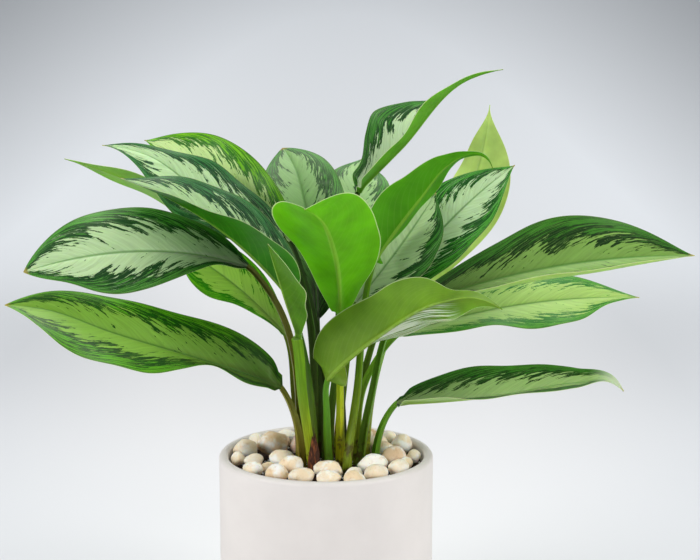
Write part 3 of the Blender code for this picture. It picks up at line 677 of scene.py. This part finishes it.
def lie_of_blade(tree, length):
    """Shares along, across and out to the edge; in mm, the way along, and that way swept as the
    veins are; and a wave that is highest on the lateral veins."""
    parts = put(tree, "SeparateXYZ", [put(tree, "UVMap", uv_map="blade")]).outputs
    out = put(tree, "Math", [parts["Y"]], operation="ABSOLUTE")
    left = put(tree, "Math", [1.06, out], operation="SUBTRACT")
    swept = put(tree, "Math", [left, math.e], operation="LOGARITHM")
    run = put(tree, "Math", [parts["X"], length], operation="MULTIPLY")
    vein = put(tree, "Math", [swept, VEIN_SWEEP * length, run], operation="MULTIPLY_ADD")
    wave = put(tree, "Math", [vein, 2 * math.pi / VEIN_PITCH], operation="MULTIPLY")
    return parts["X"], parts["Y"], out, run, vein, put(tree, "Math", [wave], operation="SINE")


def living_tissue(tree, shader, colour, roughness, height, strength, deep=0.2 * MM):
    """Light soaks in and comes out green on the far side; the waxy skin shines greenish."""
    feed(shader, {
        "Base Color": colour, "Roughness": roughness, "IOR": 1.36,
        "Specular Tint": (0.75, 1.0, 0.55, 1), "Subsurface Weight": 0.35,
        "Subsurface Radius": (0.5, 1.0, 0.15), "Subsurface Scale": 3 * MM,
        "Normal": put(tree, "Bump", {"Height": height, "Strength": strength, "Distance": deep})})


def variegated_leaf(name, leaf, length, seed):
    """The upper skin. Streaks follow the lateral veins: fine and crowded towards the edge."""
    made, tree, shader, place = new_finish(name)
    s, t, out, run, vein, wave = lie_of_blade(tree, length)
    wobble = put(tree, "TexNoise", {"Vector": place, "Scale": 1 / (12 * MM), "Detail": 2.0})
    stray = put(tree, "Math", [wobble, 6.0, vein], operation="MULTIPLY_ADD")
    side = put(tree, "Math", [t], operation="SIGN")
    depth = put(tree, "Math", [side, 7.0, seed * 3.7], operation="MULTIPLY_ADD")

    def streaks(across, lengthways, detail):
        """Noise drawn out along the blade, from its sizes across and along in mm."""
        spot = put(tree, "CombineXYZ", [put(tree, "Math", [stray, across], operation="DIVIDE"),
                                        put(tree, "Math", [run, lengthways], operation="DIVIDE"),
                                        depth])
        return put(tree, "TexNoise", {"Vector": spot, "Scale": 1.0, "Detail": detail,
                                      "Roughness": 0.62})

    broad = streaks(8.0, 22.0, 5.0)
    fine = streaks(3.2, 34.0, 4.0)
    ends = put(tree, "MapRange", [s, 0.90, 1.0, 0.0, 0.25], interpolation_type="SMOOTHSTEP")
    green = put(tree, "Math", [broad, -0.62 * leaf["margin"] - 0.35 / 2], operation="ADD")
    for value, weight in ((out, 0.62), (ends, 1.0), (fine, 0.35)):
        green = put(tree, "Math", [value, weight, green], operation="MULTIPLY_ADD")
    border = put(tree, "MapRange", [green, 0.74, 0.54, 0.0, 0.20], interpolation_type="SMOOTHSTEP")
    dusky = put(tree, "Math", [fine, border], operation="ADD")
    isle = put(tree, "Math", [out, 0.12, streaks(4.5, 12.0, 3.0)], operation="MULTIPLY_ADD")
    deep = painted(tree, linear(leaf["mid"]), (
        (dusky, 0.50, 0.56, 0, 1, leaf["dark"]),
        (streaks(2.0, 30.0, 11.0), 0.56, 0.66, 0, 0.42, leaf["silver"])))
    colour = put(tree, "HueSaturation", {
        "Color": linear(leaf["silver"]), "Value": put(tree, "MapRange", [fine, 0.3, 0.7, 1.12, 0.80])})
    colour = painted(tree, colour, ((isle, 0.69, 0.71, 0, 1, leaf["dark"]),
                                    (green, 0.505, 0.53, 0, 1, deep)))
    # Painted shade: the upper face darkens towards the blade's base, where the heart of the plant lies
    # in shadow.
    painted_base_shade = put(tree, "MapRange", [s, 0.15, 0.48, leaf.get("shade", 0.62), 1.0])
    colour = put(tree, "HueSaturation", {"Color": colour, "Value": painted_base_shade})
    colour = painted(tree, colour, (  # midrib, veins, edge, frosted tip, dry tip
        (out, 0.012, 0.045, 0.65, 0, "#4C7A34"), (wave, 0.90, 1.0, 0, 0.16, "#6F9A50"),
        (out, 0.965, 0.99, 0, 0.7, "#3A4A22"), (s, 0.84, 0.97, 0, leaf.get("frost", 0), "#C4D0B4"),
        (s, 0.975, 0.998, 0, 0.85, "#A98A48")))
    grain = put(tree, "TexNoise", {"Vector": place, "Scale": 1 / (1.2 * MM), "Detail": 2.0})
    living_tissue(tree, shader, colour, put(tree, "MapRange", [broad, 0, 1, 0.28, 0.44]), grain, 0.12)
    return made


def plain_underside(name, leaf, length):
    """The underside: plain green and duller, with a pale raised midrib and faint veins."""
    made, tree, shader, place = new_finish(name)
    s, t, out, _, vein, wave = lie_of_blade(tree, length)
    cloud = put(tree, "TexNoise", {"Vector": place, "Scale": 1 / (22 * MM), "Detail": 3.0})
    colour = put(tree, "HueSaturation", {
        "Color": linear(leaf["back"]), "Value": put(tree, "MapRange", [cloud, 0.3, 0.7, 0.74, 1.14])})
    colour = painted(tree, colour, [(wave, 0.70, 1.0, 0, 0.04, "#A9C46A")])
    # Painted sheen: a whitish band of pleats on the left half of the underside stands in for light
    # glancing off its ripples.
    if leaf.get("pale"):
        fold = put(tree, "CombineXYZ", [put(tree, "Math", [vein, 5.5], operation="DIVIDE"),
                                        put(tree, "Math", [s, 4.0], operation="MULTIPLY")])
        pleat = put(tree, "TexNoise", {"Vector": fold, "Scale": 1.0, "Detail": 2.0})
        sheen_band = 0.8
        for value, low, high in ((t, 0.05, -0.2), (s, 0.16, 0.34), (s, 0.78, 0.6),
                                 (pleat, 0.44, 0.56)):
            share = put(tree, "MapRange", [value, low, high], interpolation_type="SMOOTHSTEP")
            sheen_band = put(tree, "Math", [share, sheen_band], operation="MULTIPLY")
        colour = put(tree, "Mix", {0: sheen_band, 6: colour, 7: linear("#E4EADA")}, data_type="RGBA")
    narrow = put(tree, "Math", [s, -0.05, 0.075], operation="MULTIPLY_ADD")
    rib = put(tree, "Math", [out, narrow], operation="LESS_THAN")
    colour = painted(tree, colour, ((rib, 0, 1, 0, 0.28, "#A4C24E"),
                                    (out, 0.975, 0.995, 0, 0.6, "#D5DDB4")))
    grain = put(tree, "TexNoise", {"Vector": place, "Scale": 1 / (1.2 * MM), "Detail": 2.0})
    living_tissue(tree, shader, colour, 0.5, grain, 0.15)
    return made


def fleshy_stalk(name, top, bottom):
    """The stalk: fleshy, ribbed lengthways, yellow green, and brown and mottled at its foot."""
    made, tree, shader, place = new_finish(name)
    parts = put(tree, "SeparateXYZ", [put(tree, "UVMap", uv_map="blade")]).outputs
    climb = put(tree, "Math", [parts["X"], 1.0], operation="ADD")
    fibres = put(tree, "CombineXYZ", [put(tree, "Math", [parts["Y"], 9.0], operation="MULTIPLY"),
                                      put(tree, "Math", [climb, 5.0], operation="MULTIPLY")])
    strand = put(tree, "TexNoise", {"Vector": fibres, "Scale": 1.0, "Detail": 3.0})
    patch = put(tree, "TexNoise", {"Vector": place, "Scale": 1 / (9 * MM), "Detail": 4.0,
                                   "Roughness": 0.6})
    worn = put(tree, "Math", [climb, -0.6, patch], operation="MULTIPLY_ADD")
    green = painted(tree, linear(bottom), [(climb, 0.05, 0.75, 0, 1, top)])
    # The lighter strands are partly the stalk's own lengthways striping and partly a painted highlight
    # on its ribs.
    ridge = put(tree, "HueSaturation", {"Color": green, "Value": 1.6})
    green = painted(tree, green, ((strand, 0.4, 0.7, 0, 0.7, ridge),
                                  (worn, 0.40, 0.56, 0, 0.85, "#3E2212")))
    living_tissue(tree, shader, green, 0.42, strand, 0.35, 0.4 * MM)
    return made


for number, (leaf_name, leaf) in enumerate(LEAVES.items(), 1):
    blade_mesh, blade_length = leaf_mesh(leaf_name + "_grown", leaf, number)
    short = leaf_name[5:]
    skins = [variegated_leaf("variegated_leaf_" + short, leaf, blade_length, number),
             plain_underside("leaf_underside_" + short, leaf, blade_length),
             fleshy_stalk("leaf_stalk_" + short, leaf.get("stalk", "#6E9A22"),
                          leaf.get("base", "#7E8A1E"))]
    add_piece(leaf_name + "_grown", blade_mesh, skins, leaf_name)


# ---------------------------------------------------------------- dry sheath
# A dead leaf base: a brown papery husk wrapped round the foot of the youngest leaf's stalk.
# It is torn along its top, split down the back and wrinkled lengthways.
SHEATH_TOP = 42.0
SHEATH_INSIDE = 5.2
SHEATH_WALL = 0.5
SHEATH_HEADING = -60.0
SHEATH_LEVELS, SHEATH_STEPS = 44, 40


def dead_husk():
    """Dead leaf base: rust to near black, fibrous, dull."""
    made, tree, shader, place = new_finish("dead_husk")
    drawn = put(tree, "Mapping", {"Vector": place, "Scale": (700, 700, 90)})
    fibre = put(tree, "TexNoise", {"Vector": drawn, "Scale": 1.0, "Detail": 4.0, "Roughness": 0.65})
    feed(shader, {
        "Base Color": put(tree, "ValToRGB", [fibre], [(0.30, "#1C0F09"), (0.48, "#43210F"),
                                                      (0.62, "#8A4A20"), (0.80, "#C08A50")]),
        "Roughness": 0.8,
        "Normal": put(tree, "Bump", {"Height": fibre, "Strength": 0.8, "Distance": 0.6 * MM})})
    return made


stalk_line = spine(LEAVES["leaf_20_rolled"])[:STALK_RINGS]
husk = bmesh.new()
shells = []
for level in range(SHEATH_LEVELS + 1):
    climb = level / SHEATH_LEVELS
    ring_in, ring_out = [], []
    open_half = math.radians(105 - 88 * climb**1.3)
    for k in range(SHEATH_STEPS + 1):
        turn = math.radians(SHEATH_HEADING) - open_half + 2 * open_half * k / SHEATH_STEPS
        torn = 0.78 + 0.22 * noise.noise(Vector((k * 0.8, 3.1, 0)))
        height = SHEATH_TOP * climb * torn
        z = SOIL_TOP / MM + SEAT_GAP + height
        at = min(range(len(stalk_line) - 1), key=lambda q: abs(stalk_line[q].z - z))
        middle = stalk_line[at] + (stalk_line[at + 1] - stalk_line[at]) * (
            (z - stalk_line[at].z) / (stalk_line[at + 1].z - stalk_line[at].z))
        wrinkle = 0.35 * noise.noise(Vector((k * 0.5, height * 0.09, 7.7)))
        flare = 0.9 * max(0, climb - 0.75) * (1 + noise.noise(Vector((k * 0.4, 1.0, 2.0))))
        for ring, radius in ((ring_in, SHEATH_INSIDE), (ring_out, SHEATH_INSIDE + SHEATH_WALL)):
            r = radius + wrinkle + flare
            ring.append(husk.verts.new(Vector((middle.x + r * math.cos(turn),
                                               middle.y + r * math.sin(turn), z)) * MM))
    shells.append(ring_in + ring_out[::-1])
loop_size = len(shells[0])
for a, b in zip(shells, shells[1:]):
    for k in range(loop_size):
        n = (k + 1) % loop_size
        husk.faces.new((a[k], a[n], b[n], b[k]))
for ring in (shells[0], shells[-1]):
    for k in range(loop_size // 2 - 1):
        husk.faces.new((ring[k], ring[k + 1], ring[loop_size - 2 - k], ring[loop_size - 1 - k]))
bmesh.ops.recalc_face_normals(husk, faces=husk.faces)
husk_mesh = bpy.data.meshes.new("dry_husk")
husk.to_mesh(husk_mesh)
husk.free()
add_piece("dry_husk", husk_mesh, [dead_husk()], "dry_sheath")


# ---------------------------------------------------------------- pebbles
# River pebbles of quartz and marble lie on the soil: worn smooth, never quite round, cream, white,
# beige and pinkish, with rust stains and a few pits.
PEBBLE_TONES = {  # the few that aren't the usual cream, by their number
    2: 0.30, 3: 0.15, 5: 0.75, 8: 0.9, 10: 0.1, 13: 0.12, 14: 0.0, 15: 0.8, 16: 0.2, 20: 1.0,
}


def river_pebble():
    """Quartz and marble pebble: satin, mottled, rust in its pores."""
    made, tree, shader, place = new_finish("river_pebble")
    own = put(tree, "Attribute", attribute_name="stone").outputs["Vector"]
    stone = put(tree, "ValToRGB", [put(tree, "SeparateXYZ", [own])], [
        (0.0, "#FAF5E8"), (0.2, "#F7EAD2"), (0.5, "#F2DEBE"), (0.75, "#EBCDA2"), (0.9, "#EFCDB8"),
        (1.0, "#C8AA80")])
    shift = put(tree, "VectorMath", [place, (1 / (11 * MM),) * 3, own], operation="MULTIPLY_ADD")
    cloud = put(tree, "TexNoise", {"Vector": shift, "Scale": 1.0, "Detail": 4.0, "Roughness": 0.6})
    stain = put(tree, "TexNoise", {"Vector": place, "Scale": 1 / (6 * MM), "Detail": 5.0,
                                   "Roughness": 0.7})
    pit = put(tree, "TexNoise", {"Vector": place, "Scale": 1 / (1.4 * MM), "Detail": 3.0})
    stone = painted(tree, stone, ((cloud, 0.42, 0.68, 0, 1, "#FBF9F3"),
                                  (stain, 0.52, 0.74, 0, 0.45, "#B98A54"),
                                  (pit, 0.66, 0.74, 0, 0.35, "#A58F72")))
    feed(shader, {
        "Base Color": stone, "Roughness": 0.5, "IOR": 1.48, "Subsurface Weight": 0.4,
        "Subsurface Radius": (1.0, 0.75, 0.5), "Subsurface Scale": 4 * MM,
        "Normal": put(tree, "Bump", {"Height": pit, "Strength": 0.25, "Distance": 0.3 * MM})})
    return made


pebble_stone = river_pebble()
pebble_nodes = sorted(n for n in frame["nodes"] if n.startswith("pebble_"))
WORN_AT = 0.80             # flats start at this share of the reach
WORN_OFF = 0.7             # share of what stands past a flat that is worn away
FLATS = 5
for number, node_name in enumerate(pebble_nodes, 1):
    stone = bmesh.new()
    stone.from_mesh(bpy.data.objects[frame["nodes"][node_name].name].data)
    bmesh.ops.remove_doubles(stone, verts=stone.verts, dist=1e-6)
    bmesh.ops.subdivide_edges(stone, edges=stone.edges, cuts=1, use_grid_fill=True, smooth=1.0)
    low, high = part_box(node_name)
    centre, size = (low + high) / 2, high - low
    worn_ways = [Vector((math.cos(a), math.sin(a), 0.9 * math.sin(2.3 * a + number))).normalized()
                 for a in (number * 1.9 + k * 1.13 for k in range(FLATS))]
    for vert in stone.verts:
        away = vert.co - centre
        spot = away / max(size) * 2.2 + Vector((number * 3.1, number * 1.7, 0))
        dent = noise.noise(spot * 0.8) * 0.18 + noise.noise(spot * 2.1) * 0.05 - 0.02
        for way in worn_ways:
            reach = sum((way[k] * size[k] / 2) ** 2 for k in range(3)) ** 0.5 * WORN_AT
            past = away.dot(way) - reach
            if past > 0:
                away -= way * past * WORN_OFF
        vert.co = centre + away * (1 + min(dent, 0.0))
    worn = bpy.data.meshes.new(node_name + "_worn")
    stone.to_mesh(worn)
    stone.free()
    tone = PEBBLE_TONES.get(number, 0.35 + 0.3 * ((number * 0.618) % 1.0))
    mark = worn.attributes.new("stone", "FLOAT_VECTOR", "POINT")
    mark.data.foreach_set("vector", [tone, tone * 13 + number, number * 2.3] * len(worn.vertices))
    add_piece(node_name + "_worn", worn, [pebble_stone], node_name)


# ---------------------------------------------------------------- studio
# A plain pale paper floor that sweeps up all round, lit softly from both sides and from above,
# with a pool of light on the paper behind the plant; the paper's colour also holds a painted pool of
# light there that greys away from it.
FLOOR_FLAT, FLOOR_SWEEP, SWEEP_TURN = 1.6, 3.6, 58


def studio_paper():
    """Seamless background paper: matte, with a painted pool of light behind the plant that greys
    outwards, and a faint tooth.
    """
    made, tree, shader, place = new_finish("studio_paper")
    drawn = put(tree, "Mapping", {"Vector": place, "Location": (0.0, -0.9, 0.0),
                                  "Scale": (2.4, 0.8, 0.0)})
    far = put(tree, "VectorMath", [drawn], operation="LENGTH")
    tooth = put(tree, "TexNoise", {"Vector": place, "Scale": 1 / (300 * MM)})
    # Painted light: the paper's colour is palest in a pool behind the plant and greys away from it.
    tone = put(tree, "ValToRGB", [put(tree, "Math", [far, 0.25], operation="MULTIPLY")], [
        (0.15, "#E4E4E4"), (0.30, "#D8DADC"), (0.46, "#E4E7EA"), (0.62, "#D0D3D6"),
        (1.0, "#909498")])
    feed(shader, {"Base Color": tone, "Roughness": 0.9,
                  "Normal": put(tree, "Bump", {"Height": tooth, "Strength": 0.05})})
    return made


sweep_line = [(0.4 * i, 0.0) for i in range(4)]
sweep_line += arc((FLOOR_FLAT, FLOOR_SWEEP), FLOOR_SWEEP, -90, -90 + SWEEP_TURN, 24)
SWEEP_SPOKES = 96
spots = [(0.0, 0.0, 0.0)]
spots += [(r * math.cos(a), r * math.sin(a), z) for r, z in sweep_line[1:]
          for a in (2 * math.pi * k / SWEEP_SPOKES for k in range(SWEEP_SPOKES))]
sheets = [(0, 1 + k, 1 + (k + 1) % SWEEP_SPOKES) for k in range(SWEEP_SPOKES)]
for i in range(len(sweep_line) - 2):
    for k in range(SWEEP_SPOKES):
        a, b = 1 + i * SWEEP_SPOKES + k, 1 + i * SWEEP_SPOKES + (k + 1) % SWEEP_SPOKES
        sheets.append((a, a + SWEEP_SPOKES, b + SWEEP_SPOKES, b))
backdrop_mesh = bpy.data.meshes.new("studio_sweep")
backdrop_mesh.from_pydata(spots, [], sheets)
backdrop_mesh.polygons.foreach_set("use_smooth", [True] * len(backdrop_mesh.polygons))
backdrop_mesh.materials.append(studio_paper())
backdrop = bpy.data.objects.new("studio_sweep", backdrop_mesh)
bpy.context.scene.collection.objects.link(backdrop)
backdrop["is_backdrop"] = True


def lamp(name, kind, place, target, power, **settings):
    """A studio lamp that looks at the target."""
    light = bpy.data.lights.new(name, kind)
    light.energy = power
    for key, value in settings.items():
        setattr(light, key, value)
    holder = bpy.data.objects.new(name, light)
    holder.location = place
    holder.rotation_euler = (Vector(target) - Vector(place)).to_track_quat("-Z", "Y").to_euler()
    bpy.context.scene.collection.objects.link(holder)


PLANT_HEART = (0, 0, 0.3)
lamp("softbox_left", "AREA", (-1.4, -0.8, 0.9), PLANT_HEART, 20, shape="SQUARE", size=0.9)
lamp("softbox_right", "AREA", (1.5, -0.7, 0.85), PLANT_HEART, 19, shape="SQUARE", size=0.9)
lamp("softbox_top", "AREA", (0.1, 0.5, 1.9), PLANT_HEART, 16, shape="SQUARE", size=1.0)
lamp("paper_pool", "SPOT", (0.0, 1.2, 2.4), (0.0, 2.6, 0.1), 130, spot_size=math.radians(70),
     spot_blend=1.0, shadow_soft_size=0.4)

world = bpy.data.worlds.new("studio_air")
bpy.context.scene.world = world
world.use_nodes = True
world.node_tree.nodes["Background"].inputs["Color"].default_value = (0.93, 0.96, 1.0, 1)
world.node_tree.nodes["Background"].inputs["Strength"].default_value = 0.50
bpy.context.scene.view_settings.view_transform = "Standard"

CAMERA_PITCH = 9.9         # degrees below level
CAMERA_LENS = 82.29        # mm, for a sensor 36 mm wide
CAMERA_PLACE = (0.0201, -1.3040, 0.5394)
camera = bpy.data.cameras.new("camera")
camera.lens, camera.sensor_width = CAMERA_LENS, 36.0
camera.clip_start, camera.clip_end = 0.05, 50
stand = bpy.data.objects.new("camera", camera)
stand.location = CAMERA_PLACE
stand.rotation_euler = (math.radians(90 - CAMERA_PITCH), 0, 0)
bpy.context.scene.collection.objects.link(stand)
bpy.context.scene.camera = stand

# ---------------------------------------------------------------- sizes
low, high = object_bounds()
